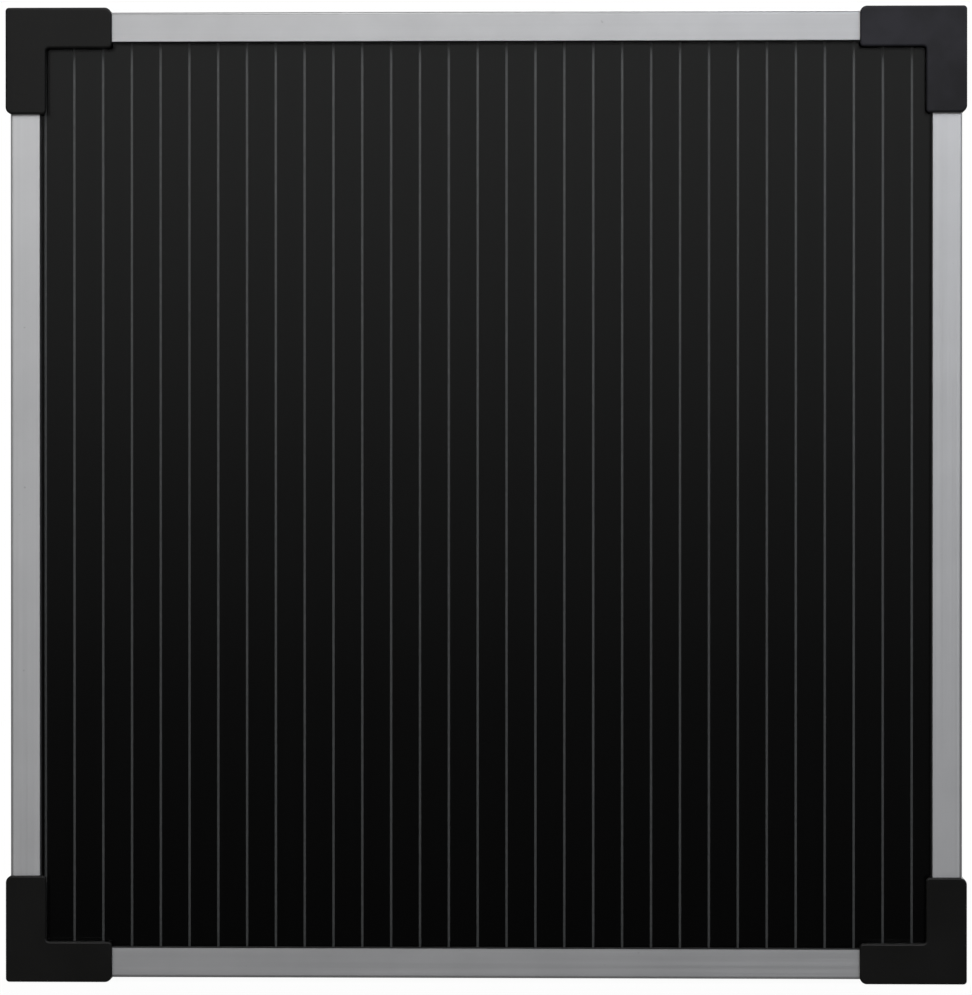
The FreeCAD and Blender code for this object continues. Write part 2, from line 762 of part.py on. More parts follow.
def make_box_base():
    """The open box with its foot, seal groove, hinge ears and moulded cable spigot."""
    body = new_body("junction_box_base")
    foot = new_sketch(body, "XZ_Plane")
    draw_foot_outline(foot)
    add(body, foot, "Size.foot_thick", reverse=True)
    walls = new_sketch(body, "XZ_Plane")
    draw_box_outline(walls, "0")
    add(body, walls, "Size.box_deep", reverse=True)
    entry = ("-Size.entry_offset", "Size.entry_lift")
    spigot = new_sketch(body, "XY_Plane", "-(Size.box_tall / 2 - Size.spigot_root)")
    draw_circle(spigot, *entry, "Size.spigot_radius")
    add(body, spigot, "Size.spigot_length + Size.spigot_root", reverse=True)
    ear_start = "(Size.knuckle_wide / 2 + Size.ear_gap)"
    for side in (1, -1):
        for part in ("web", "knuckle"):
            ear = new_sketch(body, "YZ_Plane", f"{side} * {ear_start}")
            if part == "web":
                draw_rectangle(ear,
                               ("Size.box_deep - Size.knuckle_radius", "Size.box_tall / 2 - Size.ear_root"),
                               ("Size.box_deep", HINGE_UP))
            else:
                draw_circle(ear, "Size.box_deep", HINGE_UP, "Size.knuckle_radius")
            add(body, ear, "Size.ear_wide", reverse=side < 0)
    inside = new_sketch(body, "XZ_Plane", "-Size.box_deep")
    draw_box_outline(inside, "Size.box_wall")
    cut(body, inside, "Size.box_deep - Size.box_floor", reverse=True)
    groove = new_sketch(body, "XZ_Plane", "-Size.box_deep")
    draw_box_outline(groove, "Size.seal_inset")
    draw_box_outline(groove, "(Size.seal_inset + Size.seal_wide)")
    cut(body, groove, "Size.seal_sunk", reverse=True)
    bore = new_sketch(body, "XY_Plane", "-(Size.box_tall / 2 + Size.spigot_length)")
    draw_circle(bore, *entry, "Size.cable_radius")
    cut(body, bore, "Size.spigot_length + Size.box_wall", reverse=True)
    pin_hole = new_sketch(body, "YZ_Plane")
    draw_circle(pin_hole, "Size.box_deep", HINGE_UP, "Size.pin_radius + Size.pin_clearance / 2")
    cut(body, pin_hole, symmetric=True)
    cut_window(body)
    set_in_box(body)


def make_lid():
    """The hinged lid: plate, locating rim, thumb tab and one long hinge knuckle."""
    body = new_body("junction_box_lid")
    raised = f"-{LID_UNDERSIDE}"
    outer_face = f"({LID_UNDERSIDE} + Size.lid_thick)"
    plate_outline = new_sketch(body, "XZ_Plane", raised)
    draw_box_outline(plate_outline, "0")
    plate = add(body, plate_outline, "Size.lid_thick", reverse=True)
    round_edges(body, plate, "Size.lid_edge_radius", lies_at(y=outer_face))
    panel = new_sketch(body, "XZ_Plane", f"-{outer_face}")
    draw_rectangle(panel,
                   ("Size.lid_panel_inset - Size.box_wide / 2", "Size.lid_panel_inset - Size.box_tall / 2"),
                   ("Size.box_wide / 2 - Size.lid_panel_inset", "Size.box_tall / 2 - Size.lid_panel_inset"))
    cut(body, panel, "Size.lid_panel_sunk", reverse=True)
    tab_outline = new_sketch(body, "XZ_Plane", raised)
    draw_rectangle(tab_outline,
                   ("-Size.tab_wide / 2", "-Size.box_tall / 2 - Size.tab_reach"),
                   ("Size.tab_wide / 2", "Size.box_wall - Size.box_tall / 2"))
    add(body, tab_outline, "Size.lid_thick - Size.lid_edge_radius", reverse=True)
    rim = new_sketch(body, "XZ_Plane", raised)
    rim_inset = "(Size.box_wall + Size.lid_rim_gap)"
    rim_corner = "(Size.box_corner - Size.box_wall)"
    for inset in (rim_inset, f"({rim_inset} + Size.lid_rim_wall)"):
        draw_rounded_rectangle(rim, f"(Size.box_wide / 2 - {inset})", f"(Size.box_tall / 2 - {inset})",
                               rim_corner)
    add(body, rim, "Size.lid_rim_drop")
    web = new_sketch(body, "YZ_Plane")
    draw_rectangle(web, (LID_UNDERSIDE, "Size.box_tall / 2 - Size.box_wall"), (outer_face, HINGE_UP))
    add(body, web, "Size.knuckle_wide", symmetric=True)
    knuckle = new_sketch(body, "YZ_Plane")
    draw_circle(knuckle, "Size.box_deep", HINGE_UP, "Size.knuckle_radius")
    add(body, knuckle, "Size.knuckle_wide", symmetric=True)
    bore = new_sketch(body, "YZ_Plane")
    draw_circle(bore, "Size.box_deep", HINGE_UP, "Size.pin_radius + Size.pin_clearance")
    cut(body, bore, symmetric=True)
    set_in_box(body)


def make_lid_seal():
    """The rubber ring in the box's groove."""
    body = new_body("lid_seal")
    ring = new_sketch(body, "XZ_Plane", "-(Size.box_deep - Size.seal_sunk)")
    draw_box_outline(ring, "Size.seal_inset")
    draw_box_outline(ring, "(Size.seal_inset + Size.seal_wide)")
    add(body, ring, "Size.seal_high", reverse=True)
    set_in_box(body)


def make_hinge_pin():
    """The steel pin through both ears and the lid's knuckle."""
    pin = doc.addObject("Part::Cylinder", "hinge_pin")
    half_long = "(Size.knuckle_wide / 2 + Size.ear_gap + Size.ear_wide)"
    pin.setExpression("Radius", "Size.pin_radius")
    pin.setExpression("Height", f"2 * {half_long}")
    along_hinge = FreeCAD.Rotation(Vector(0, 0, 1), Vector(1, 0, 0))
    pin.Placement = FreeCAD.Placement(Vector(), along_hinge)
    pin.setExpression("Placement.Base.x", f"-{half_long}")
    pin.setExpression("Placement.Base.y", f"{BOX_SEAT} + Size.box_deep")
    pin.setExpression("Placement.Base.z", f"Size.box_height + {HINGE_UP}")
    keep(pin, "hinge_pin")


def make_terminal(name, side):
    """A brass block with a wire hole from below and a clamp screw hole on top."""
    body = new_body(name)
    middle = f"({side} * Size.terminal_offset)"
    low_edge = "(Size.terminal_raise - Size.terminal_tall / 2)"
    outline = new_sketch(body, "XZ_Plane", "-Size.box_floor")
    draw_rectangle(outline,
                   (f"{middle} - Size.terminal_wide / 2", low_edge),
                   (f"{middle} + Size.terminal_wide / 2", f"{low_edge} + Size.terminal_tall"))
    add(body, outline, "Size.terminal_deep", reverse=True)
    wire_hole = new_sketch(body, "XY_Plane", low_edge)
    draw_circle(wire_hole, middle, "Size.box_floor + Size.wire_hole_lift + Size.clamp_radius / 4",
                "Size.wire_hole_radius")
    cut(body, wire_hole, "Size.terminal_tall - Size.wire_hole_radius", reverse=True)
    clamp_hole = new_sketch(body, "XZ_Plane", "-(Size.box_floor + Size.terminal_deep)")
    draw_circle(clamp_hole, middle, "Size.terminal_raise", "Size.clamp_radius + Size.pin_clearance")
    cut(body, clamp_hole, "Size.terminal_deep / 2", reverse=True)
    set_in_box(body)


def make_terminal_screws():
    """One slotted clamp screw on each terminal."""
    head_radius = number("Size.clamp_head_radius")
    head_deep = number("Size.clamp_head_deep")
    slot = number("Size.screw_slot")
    face = number(f"{BOX_SEAT} + Size.box_floor + Size.terminal_deep")
    up = number("Size.box_height + Size.terminal_raise")
    outwards = Vector(0, 1, 0)
    solids = []
    for side in (1, -1):
        x = side * number("Size.terminal_offset")
        head = Part.makeCylinder(head_radius, head_deep, Vector(x, face, up), outwards)
        length = number("Size.clamp_length")
        shank = Part.makeCylinder(number("Size.clamp_radius"), length, Vector(x, face - length, up), outwards)
        start = Vector(x - head_radius, face + head_deep / 2, up - slot / 2)
        blade = Part.makeBox(2 * head_radius, head_deep, slot, start)
        solids.append(head.fuse(shank).cut(blade))
    group("terminal_screws", solids)


def make_diode():
    """The blocking diode between the terminals, and its two bent leads."""
    lift = number(f"{BOX_SEAT} + Size.box_floor + Size.diode_lift")
    up = number("Size.box_height - Size.diode_drop")
    half_long = number("Size.diode_length") / 2
    along = Vector(1, 0, 0)
    barrel = doc.addObject("Part::Feature", "blocking_diode")
    cylinder = Part.makeCylinder(number("Size.diode_radius"), 2 * half_long, Vector(-half_long, lift, up), along)
    rims = [edge for edge in cylinder.Edges if len(edge.Vertexes) == 1]
    barrel.Shape = cylinder.makeFillet(number("Size.diode_edge"), rims)
    keep(barrel, "blocking_diode")
    bend = number("Size.lead_bend")
    far = number("Size.lead_place")
    block = number("Size.box_height + Size.terminal_raise - Size.terminal_tall / 2")
    solids = []
    for side in (1, -1):
        start = Vector(side * half_long, lift, up)
        before = Vector(side * (far - bend), lift, up)
        middle = Vector(side * (far - bend + bend / 2 ** 0.5), lift, up + bend - bend / 2 ** 0.5)
        after = Vector(side * far, lift, up + bend)
        end = Vector(side * far, lift, block)
        path = Part.Wire([
            Part.LineSegment(start, before).toShape(),
            Part.Arc(before, middle, after).toShape(),
            Part.LineSegment(after, end).toShape(),
        ])
        ring = Part.Wire(Part.makeCircle(number("Size.lead_radius"), start, along))
        solids.append(path.makePipeShell([ring], True, False))
    group("diode_leads", solids)


def make_gland():
    """The hexagonal cap nut on the spigot, and the seal ring that it squeezes."""
    entry = ("-Size.entry_offset", "Size.entry_lift")
    nut = new_body("gland_nut")
    nut_top = "(Size.box_tall / 2 + Size.gland_start)"
    nut_end = f"({nut_top} + Size.gland_length)"
    hexagon = new_sketch(nut, "XY_Plane", f"-{nut_top}")
    corner_reach = "(Size.gland_flats / sqrt(3))"
    corners = []
    for step in range(6):
        across = f"{entry[0]} + {corner_reach} * cos({60 * step} deg)"
        up = f"{entry[1]} + {corner_reach} * sin({60 * step} deg)"
        corners.append((across, up))
    draw_polygon(hexagon, corners)
    add(nut, hexagon, "Size.gland_length", reverse=True)
    cavity = new_sketch(nut, "XY_Plane", f"-{nut_top}")
    draw_circle(cavity, *entry, "Size.spigot_radius + Size.gland_clearance")
    cut(nut, cavity, "Size.gland_length - Size.gland_end_wall")
    mouth = new_sketch(nut, "XY_Plane", f"-{nut_end}")
    draw_circle(mouth, *entry, "Size.cable_radius")
    cut(nut, mouth, symmetric=True)
    set_in_box(nut)
    seal = new_body("gland_seal")
    ring = new_sketch(seal, "XY_Plane", "-(Size.box_tall / 2 + Size.spigot_length)")
    draw_circle(ring, *entry, "Size.spigot_radius")
    draw_circle(ring, *entry, "Size.cable_radius")
    add(seal, ring, f"{nut_end} - Size.gland_end_wall - Size.box_tall / 2 - Size.spigot_length", reverse=True)
    set_in_box(seal)


# ---------------------------------------------------------------- build and write

for side_name in FRAME_SIDES:
    make_rail(side_name)
    make_gasket(side_name)
for corner_name in FRAME_CORNERS:
    make_key(corner_name)
    make_cover(corner_name)
make_corner_screws()
make_laminate()
make_label()
make_adhesive_pad()
make_box_base()
make_lid()
make_lid_seal()
make_hinge_pin()
make_terminal("terminal_positive", 1)
make_terminal("terminal_negative", -1)
make_terminal_screws()
make_diode()
make_gland()

doc.recompute()
for item in doc.Objects:
    faults = [state for state in item.State if state in ("Invalid", "Error")]
    if faults:
        raise RuntimeError(f"{item.Name} ({item.Label}): {faults}")
for sub_part in sub_parts:
    shape = sub_part.Shape
    if shape.isNull() or not shape.isValid() or not shape.Solids:
        raise RuntimeError(f"{sub_part.Label} has no valid solid")

os.makedirs("parts", exist_ok=True)
for sub_part in sub_parts:
    shape = sub_part.Shape
    shape.exportStep(f"parts/{sub_part.Label}.step")
    limits = shape.BoundBox
    print(f"{sub_part.Label}: {len(shape.Solids)} solids, {shape.Volume:.1f} mm3,"
          f" x {limits.XMin:.2f}..{limits.XMax:.2f}"
          f" y {limits.YMin:.2f}..{limits.YMax:.2f}"
          f" z {limits.ZMin:.2f}..{limits.ZMax:.2f}")
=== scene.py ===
import math

import bpy
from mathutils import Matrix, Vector


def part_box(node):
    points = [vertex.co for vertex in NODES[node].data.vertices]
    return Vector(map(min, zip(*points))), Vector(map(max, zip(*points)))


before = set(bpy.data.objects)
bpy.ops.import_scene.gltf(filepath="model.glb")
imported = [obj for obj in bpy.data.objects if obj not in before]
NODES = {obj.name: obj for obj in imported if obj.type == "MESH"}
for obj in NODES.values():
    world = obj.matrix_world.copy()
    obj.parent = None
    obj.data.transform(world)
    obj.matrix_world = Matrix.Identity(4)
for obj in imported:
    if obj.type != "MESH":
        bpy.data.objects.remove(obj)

MM = 0.001
SCENE = bpy.context.scene

# Finishing sizes, which are too small to belong to the design.
WELD_GAP = 0.001 * MM
LARGE_EDGE = 0.2 * MM
COVER_EDGE = 0.15 * MM
SMALL_EDGE = 0.1 * MM
SHARP_ANGLE = math.radians(50)
LAYER_GAP = 0.02 * MM
SEAM_CORE = 0.08 * MM
SEAM_EDGE = 0.28 * MM
# Painted shade: the band along the rails' rounded outer edges that is darkened.
EDGE_SHADE_START = 0.15 * MM
EDGE_SHADE_FADE = 0.75 * MM
EDGE_SHADE_END = 1.05 * MM
# Painted sheen: how far it reaches behind the front face of the top right corner cover.
SHEEN_FADE = 0.3 * MM
SHEEN_END = 1.5 * MM
LABEL_BORDER = 2.5 * MM
LABEL_RULE = 0.22 * MM

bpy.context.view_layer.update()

# Where things are, read from the frame.
RAIL_LOW, RAIL_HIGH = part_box("frame_rail_left")
FRAME_HALF_WIDE = -RAIL_LOW.x
FRAME_HALF_TALL = (RAIL_HIGH.z - RAIL_LOW.z) / 2
FRAME_MIDDLE = (RAIL_HIGH.z + RAIL_LOW.z) / 2
FACE_Y = RAIL_LOW.y
COVER_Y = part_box("corner_cover_top_right")[0].y

# The camera: its lens, its place measured from the middle of the frame's face, and its two turns.
LENS = 150
CAMERA_ASIDE = 0.0333
CAMERA_AWAY = 1.38
CAMERA_LIFT = 0.004
CAMERA_DIP = math.radians(0.2)
CAMERA_TURN = math.radians(1.37)

# Grey levels of the room at heights from straight down, 0, to straight up, 1.
ROOM_IN_FRONT = ((0.0, 0.26), (0.30, 0.20), (0.38, 0.06), (0.44, 0.013), (0.475, 0.042), (0.50, 0.092),
                 (0.56, 0.27), (0.76, 0.40), (0.90, 0.14), (1.0, 0.06))
ROOM_BEHIND = ((0.0, 0.16), (0.42, 0.20), (0.55, 0.46), (0.80, 0.55))
WHITE = (1, 1, 1)

# How far back a direction points, where the room in front starts to give way and where it has gone.
TURN_START = 0.35
TURN_END = 0.75

# The Mix node's colour sockets go by number, because its other kinds of socket have the same names.
MIX_FIRST = 6
MIX_SECOND = 7
MIX_RESULT = 2


# ---------------------------------------------------------------- node graphs


class Graph:
    """A material's node tree, with short calls for the nodes that the looks need."""

    def __init__(self, name):
        self.material = bpy.data.materials.new(name)
        self.material.use_nodes = True
        self.tree = self.material.node_tree
        self.tree.nodes.clear()
        self.output = self.tree.nodes.new("ShaderNodeOutputMaterial")
        self.coords = self.tree.nodes.new("ShaderNodeTexCoord").outputs["Object"]

    def set_input(self, socket, value):
        """Link a socket to another node's output, or set its value."""
        if isinstance(value, bpy.types.NodeSocket):
            self.tree.links.new(value, socket)
        elif isinstance(value, (tuple, list)) and socket.type == "RGBA" and len(value) == 3:
            socket.default_value = (*value, 1)
        else:
            socket.default_value = value

    def node(self, kind, settings=None, **inputs):
        """A node with its settings and its inputs, whose names have spaces for underscores."""
        node = self.tree.nodes.new(kind)
        for name, value in (settings or {}).items():
            setattr(node, name, value)
        for name, value in inputs.items():
            self.set_input(node.inputs[name.replace("_", " ")], value)
        return node

    def maths(self, operation, first, second=0.0):
        """One Math node's result."""
        node = self.tree.nodes.new("ShaderNodeMath")
        node.operation = operation
        for socket, value in zip(node.inputs, (first, second)):
            self.set_input(socket, value)
        return node.outputs[0]

    def noise(self, x, y, z, detail=2.0, offset=0.0):
        """Noise from 0 to 1 with a number of cycles per metre along each axis."""
        scaled = self.node("ShaderNodeVectorMath", {"operation": "MULTIPLY"})
        self.set_input(scaled.inputs[0], self.coords)
        scaled.inputs[1].default_value = (x, y, z)
        moved = self.node("ShaderNodeVectorMath", {"operation": "ADD"})
        self.set_input(moved.inputs[0], scaled.outputs[0])
        moved.inputs[1].default_value = (offset, offset, offset)
        pattern = self.node("ShaderNodeTexNoise", Vector=moved.outputs[0], Scale=1.0, Detail=detail)
        return pattern.outputs["Fac"]

    def remap(self, value, low, high, to_low, to_high):
        """A value moved from one range to another, and kept inside it."""
        node = self.node("ShaderNodeMapRange", Value=value, From_Min=low, From_Max=high,
                         To_Min=to_low, To_Max=to_high)
        return node.outputs[0]

    def blend(self, share, first, second):
        """A colour between two colours."""
        node = self.node("ShaderNodeMix", {"data_type": "RGBA"})
        self.set_input(node.inputs[0], share)
        self.set_input(node.inputs[MIX_FIRST], first)
        self.set_input(node.inputs[MIX_SECOND], second)
        return node.outputs[MIX_RESULT]

    def axis(self, name):
        """One of the object coordinates."""
        split = self.node("ShaderNodeSeparateXYZ", Vector=self.coords)
        return split.outputs[name]

    def mixed(self, share, first, second):
        """A shader between two shaders."""
        node = self.node("ShaderNodeMixShader")
        for socket, value in zip(node.inputs, (share, first, second)):
            self.set_input(socket, value)
        return node.outputs[0]

    def bump(self, height, distance):
        """A normal from a height from 0 to 1 that stands for a distance in metres."""
        return self.node("ShaderNodeBump", Height=height, Distance=distance, Strength=1.0).outputs[0]

    def principled(self, **inputs):
        """A Principled shader."""
        return self.node("ShaderNodeBsdfPrincipled", **inputs).outputs[0]

    def finish(self, shader):
        """Show a shader on the surface and give the material."""
        self.tree.links.new(shader, self.output.inputs["Surface"])
        return self.material


# ---------------------------------------------------------------- materials


def anodised_aluminium(name, fine, coarse, dull, bright):
    """Satin anodised extrusion: die lines, faint blotches, a few specks, and painted shade that darkens
    the rounded outer edges.
    """
    g = Graph(name)
    lines = g.noise(*fine, detail=3.0)
    bands = g.noise(*coarse, detail=2.0, offset=7.0)
    blotches = g.noise(60, 60, 60, detail=3.0, offset=3.0)
    specks = g.remap(g.noise(420, 420, 420, detail=1.0, offset=11.0), 0.76, 0.80, 0.0, 1.0)
    tone = g.maths("ADD", g.maths("MULTIPLY", lines, 0.10), g.maths("MULTIPLY", bands, 0.10))
    tone = g.maths("ADD", tone, g.maths("MULTIPLY", blotches, 0.16))
    shade = g.remap(tone, 0.12, 0.24, 0.0, 1.0)
    colour = g.blend(shade, dull, bright)
    colour = g.blend(g.maths("MULTIPLY", specks, 0.35), colour, (0.30, 0.30, 0.30))
    across = g.maths("SUBTRACT", FRAME_HALF_WIDE, g.maths("ABSOLUTE", g.axis("X")))
    centred = g.maths("SUBTRACT", g.axis("Z"), FRAME_MIDDLE)
    upwards = g.maths("SUBTRACT", FRAME_HALF_TALL, g.maths("ABSOLUTE", centred))
    from_mitre = g.maths("ABSOLUTE", g.maths("SUBTRACT", across, upwards))
    seam = g.remap(from_mitre, SEAM_CORE, SEAM_EDGE, 1.0, 0.0)
    colour = g.blend(seam, colour, (0.06, 0.06, 0.06))
    # Painted shade: a band about a millimetre wide in from the outer edges is darkened towards grey-black,
    # standing in for the dark edge outline that the light gives.
    inwards = g.maths("MINIMUM", across, upwards)
    painted_edge_shade = g.maths("MULTIPLY", g.remap(inwards, 0.0, EDGE_SHADE_START, 0.0, 0.42),
                    g.remap(inwards, EDGE_SHADE_FADE, EDGE_SHADE_END, 1.0, 0.0))
    colour = g.blend(painted_edge_shade, colour, (0.10, 0.10, 0.10))
    rough = g.remap(lines, 0.3, 0.7, 0.40, 0.52)
    relief = g.maths("ADD", g.maths("MULTIPLY", lines, 0.7), g.maths("MULTIPLY", bands, 0.3))
    shader = g.principled(Base_Color=colour, Metallic=0.72, Roughness=rough,
                          Normal=g.bump(relief, 0.006 * MM))
    return g.finish(shader)


def moulded_plastic(name, colour, worn, grain_size, rough, shine=0.5, bloom_and_sheen=None):
    """Moulded plastic with eroded grain, uneven gloss and faint scuffs; the last argument, when given, is
    the colour of a painted sheen on the front face.
    """
    g = Graph(name)
    per_metre = 1 / (grain_size * MM)
    grain = g.noise(per_metre, per_metre, per_metre, detail=2.0)
    patches = g.noise(45, 45, 45, detail=3.0, offset=5.0)
    scuffs = g.noise(900, 900, 140, detail=3.0, offset=9.0)
    scuffed = g.remap(scuffs, 0.60, 0.74, 0.0, 0.5)
    base = g.blend(g.maths("MULTIPLY", scuffed, patches), colour, worn)
    if bloom_and_sheen:
        # Painted sheen: the base colour is blended towards the given pale blue on the front face, fading
        # out within a millimetre and a half behind it, in uneven patches.
        sheen_front = g.remap(g.axis("Y"), COVER_Y + SHEEN_FADE, COVER_Y + SHEEN_END, 1.0, 0.0)
        share = g.maths("MULTIPLY", sheen_front, g.remap(patches, 0.38, 0.60, 0.35, 1.0))
        base = g.blend(share, base, bloom_and_sheen)
    gloss = g.maths("ADD", g.remap(patches, 0.3, 0.7, rough - 0.05, rough + 0.05),
                    g.maths("MULTIPLY", grain, 0.06))
    shader = g.principled(Base_Color=base, Roughness=gloss, Specular_IOR_Level=shine,
                          Normal=g.bump(grain, 0.02 * MM))
    return g.finish(shader)


def rubber(name):
    """Dull extruded rubber with a trace of bloom."""
    g = Graph(name)
    grain = g.noise(2600, 2600, 2600, detail=3.0)
    bloom_and_sheen = g.noise(120, 120, 120, detail=3.0, offset=2.0)
    colour = g.blend(g.remap(bloom_and_sheen, 0.4, 0.7, 0.0, 0.5), (0.006, 0.006, 0.006), (0.014, 0.014, 0.014))
    shader = g.principled(Base_Color=colour, Roughness=g.remap(bloom_and_sheen, 0.3, 0.7, 0.72, 0.86),
                          Normal=g.bump(grain, 0.015 * MM))
    return g.finish(shader)


def clear_glass(name, tint):
    """A glass sheet: it mirrors by angle on its outer side and lets the rest through."""
    g = Graph(name)
    smears = g.noise(14, 14, 14, detail=4.0)
    outside = g.maths("SUBTRACT", 1.0, g.node("ShaderNodeNewGeometry").outputs["Backfacing"])
    mirrored = g.node("ShaderNodeFresnel", IOR=1.5).outputs[0]
    share = g.maths("MULTIPLY", mirrored, outside)
    through = g.node("ShaderNodeBsdfTransparent", Color=tint).outputs[0]
    gloss = g.node("ShaderNodeBsdfGlossy", Color=WHITE,
                   Roughness=g.remap(smears, 0.3, 0.7, 0.01, 0.05)).outputs[0]
    return g.finish(g.mixed(share, through, gloss))


def clear_encapsulant(name):
    """The clear polymer layer, with a trace of haze and laminating texture."""
    g = Graph(name)
    haze = g.remap(g.noise(700, 700, 700, detail=3.0), 0.3, 0.7, 0.02, 0.07)
    through = g.node("ShaderNodeBsdfTransparent", Color=(0.97, 0.98, 0.96)).outputs[0]
    milky = g.node("ShaderNodeBsdfDiffuse", Color=(0.75, 0.76, 0.74)).outputs[0]
    return g.finish(g.mixed(haze, through, milky))


def thin_film(name):
    """Near-black amorphous silicon with very fine vertical streaks."""
    g = Graph(name)
    streaks = g.noise(2400, 1, 4, detail=2.0)
    broad = g.noise(300, 1, 2, detail=2.0, offset=4.0)
    mottle = g.noise(90, 90, 60, detail=3.0, offset=6.0)
    tone = g.maths("ADD", g.maths("MULTIPLY", streaks, 0.6), g.maths("MULTIPLY", broad, 0.4))
    shade = g.remap(tone, 0.35, 0.65, 0.0, 1.0)
    colour = g.blend(shade, (0.0008, 0.0008, 0.0008), (0.0016, 0.0015, 0.0016))
    shader = g.principled(Base_Color=colour, Roughness=g.remap(mottle, 0.3, 0.7, 0.05, 0.08))
    return g.finish(shader)


def scribed_line(name):
    """Pale laser-cut join between two strips, slightly broken along its length."""
    g = Graph(name)
    dashes = g.noise(60, 1, 1600, detail=2.0)
    colour = g.blend(g.remap(dashes, 0.35, 0.65, 0.0, 1.0), (0.074, 0.074, 0.075), (0.096, 0.096, 0.098))
    shader = g.principled(Base_Color=colour, Metallic=0.5, Roughness=0.45)
    return g.finish(shader)


def metal(name, colour, dark, rough):
    """Plain metal with tarnish, fine pits and uneven gloss."""
    g = Graph(name)
    pits = g.noise(1500, 1500, 1500, detail=3.0)
    tarnish = g.noise(240, 240, 240, detail=3.0, offset=8.0)
    shade = g.blend(g.remap(tarnish, 0.42, 0.72, 0.0, 1.0), colour, dark)
    shader = g.principled(Base_Color=shade, Metallic=1.0,
                          Roughness=g.remap(pits, 0.3, 0.7, rough - 0.06, rough + 0.10),
                          Normal=g.bump(pits, 0.01 * MM))
    return g.finish(shader)


def contact_film(name):
    """Evaporated metal behind the cells, with rolled-on streaks and small blemishes."""
    g = Graph(name)
    streaks = g.noise(900, 1, 12, detail=3.0)
    clouds = g.noise(35, 35, 22, detail=4.0, offset=3.0)
    shade = g.maths("ADD", g.maths("MULTIPLY", streaks, 0.65), g.maths("MULTIPLY", clouds, 0.35))
    colour = g.blend(g.remap(shade, 0.38, 0.62, 0.0, 1.0), (0.46, 0.47, 0.48), (0.66, 0.66, 0.67))
    rough = g.remap(clouds, 0.3, 0.7, 0.32, 0.40)
    shader = g.principled(Base_Color=colour, Metallic=0.85, Roughness=rough)
    return g.finish(shader)


def printed_film(name, colour, rule, half_wide, half_tall, middle):
    """A blank label: a thin border and the rules of an empty table, with no lettering."""
    g = Graph(name)
    grain = g.noise(1800, 1800, 1800, detail=2.0)
    across = g.maths("ABSOLUTE", g.axis("X"))
    up = g.maths("SUBTRACT", g.axis("Z"), middle)
    lifted = g.maths("ABSOLUTE", up)
    table_wide = half_wide - LABEL_BORDER
    table_tall = half_tall - LABEL_BORDER
    inside = g.maths("MULTIPLY", g.maths("LESS_THAN", across, table_wide + LABEL_RULE),
                     g.maths("LESS_THAN", lifted, table_tall + LABEL_RULE))
    at_side = g.maths("GREATER_THAN", across, table_wide)
    at_end = g.maths("GREATER_THAN", lifted, table_tall)
    # The ping-pong rises to half the rows' spacing and falls back once for each row.
    spacing = table_tall / 2
    step = g.maths("PINGPONG", g.maths("ADD", up, spacing * 4), spacing / 2)
    from_row = g.maths("ABSOLUTE", g.maths("SUBTRACT", step, spacing / 2))
    on_row = g.maths("LESS_THAN", from_row, LABEL_RULE / 2)
    from_column = g.maths("ABSOLUTE", g.maths("ADD", g.axis("X"), half_wide / 4))
    on_column = g.maths("LESS_THAN", from_column, LABEL_RULE / 2)
    on_border = g.maths("MAXIMUM", at_side, at_end)
    marked = g.maths("MAXIMUM", on_border, g.maths("MAXIMUM", on_row, on_column))
    marked = g.maths("MULTIPLY", marked, inside)
    base = g.blend(g.maths("MULTIPLY", marked, 0.85), colour, rule)
    rough = g.remap(grain, 0.3, 0.7, 0.32, 0.44)
    shader = g.principled(Base_Color=base, Roughness=rough, Metallic=0.35)
    return g.finish(shader)


def banded_resin(name, half_long):
    """Black diode resin with a silver cathode band near one end."""
    g = Graph(name)
    grain = g.noise(3000, 3000, 3000, detail=2.0)
    along = g.axis("X")
    in_band = g.maths("MULTIPLY", g.maths("GREATER_THAN", along, 0.42 * half_long),
                      g.maths("LESS_THAN", along, 0.78 * half_long))
    colour = g.blend(in_band, (0.012, 0.012, 0.012), (0.60, 0.60, 0.60))
    shader = g.principled(Base_Color=colour, Roughness=g.remap(grain, 0.3, 0.7, 0.30, 0.42),
                          Normal=g.bump(grain, 0.01 * MM))
    return g.finish(shader)


def foam_tape(name):
    """Closed-cell foam between the box and the glass."""
    g = Graph(name)
    cells = g.node("ShaderNodeTexVoronoi", Vector=g.coords, Scale=2200.0).outputs["Distance"]
    colour = g.blend(cells, (0.020, 0.020, 0.020), (0.055, 0.055, 0.055))
    shader = g.principled(Base_Color=colour, Roughness=0.85, Normal=g.bump(cells, 0.08 * MM))
    return g.finish(shader)


def polyester_film(name):
    """Milky polyester strip under the lead ribbons."""
    g = Graph(name)
    waves = g.noise(160, 160, 160, detail=3.0)
    colour = g.blend(waves, (0.60, 0.59, 0.53), (0.72, 0.71, 0.65))
    shader = g.principled(Base_Color=colour, Roughness=g.remap(waves, 0.3, 0.7, 0.35, 0.5))
    return g.finish(shader)


def dress(material, *names):
    """Give CAD nodes a material."""
    for name in names:
        NODES[name].material_slots[0].material = material


def each_side(stem):
    """The names of the four nodes of one kind on the frame's sides."""
    return [f"{stem}_{side}" for side in ("bottom", "left", "top", "right")]


def each_corner(stem):
    """The names of the four nodes of one kind at the frame's corners."""
    return [f"{stem}_{end}_{side}" for end in ("bottom", "top") for side in ("left", "right")]


def set_apart(name, distance):
    """Draw a clear CAD layer a hair's breadth along Y from the opaque layer that it touches."""
    shift = NODES[name].modifiers.new("set_apart", "DISPLACE")
    shift.direction = "Y"
    shift.mid_level = 0
    shift.strength = distance


def soften(width, *names):
    """Round the sharp edges of CAD nodes by a width."""
    for name in names:
        NODES[name].modifiers.new("joined", "WELD").merge_threshold = WELD_GAP
        bevel = NODES[name].modifiers.new("softened", "BEVEL")
        bevel.width = width
        bevel.segments = 2
        bevel.limit_method = "ANGLE"
        bevel.angle_limit = SHARP_ANGLE
        bevel.harden_normals = True


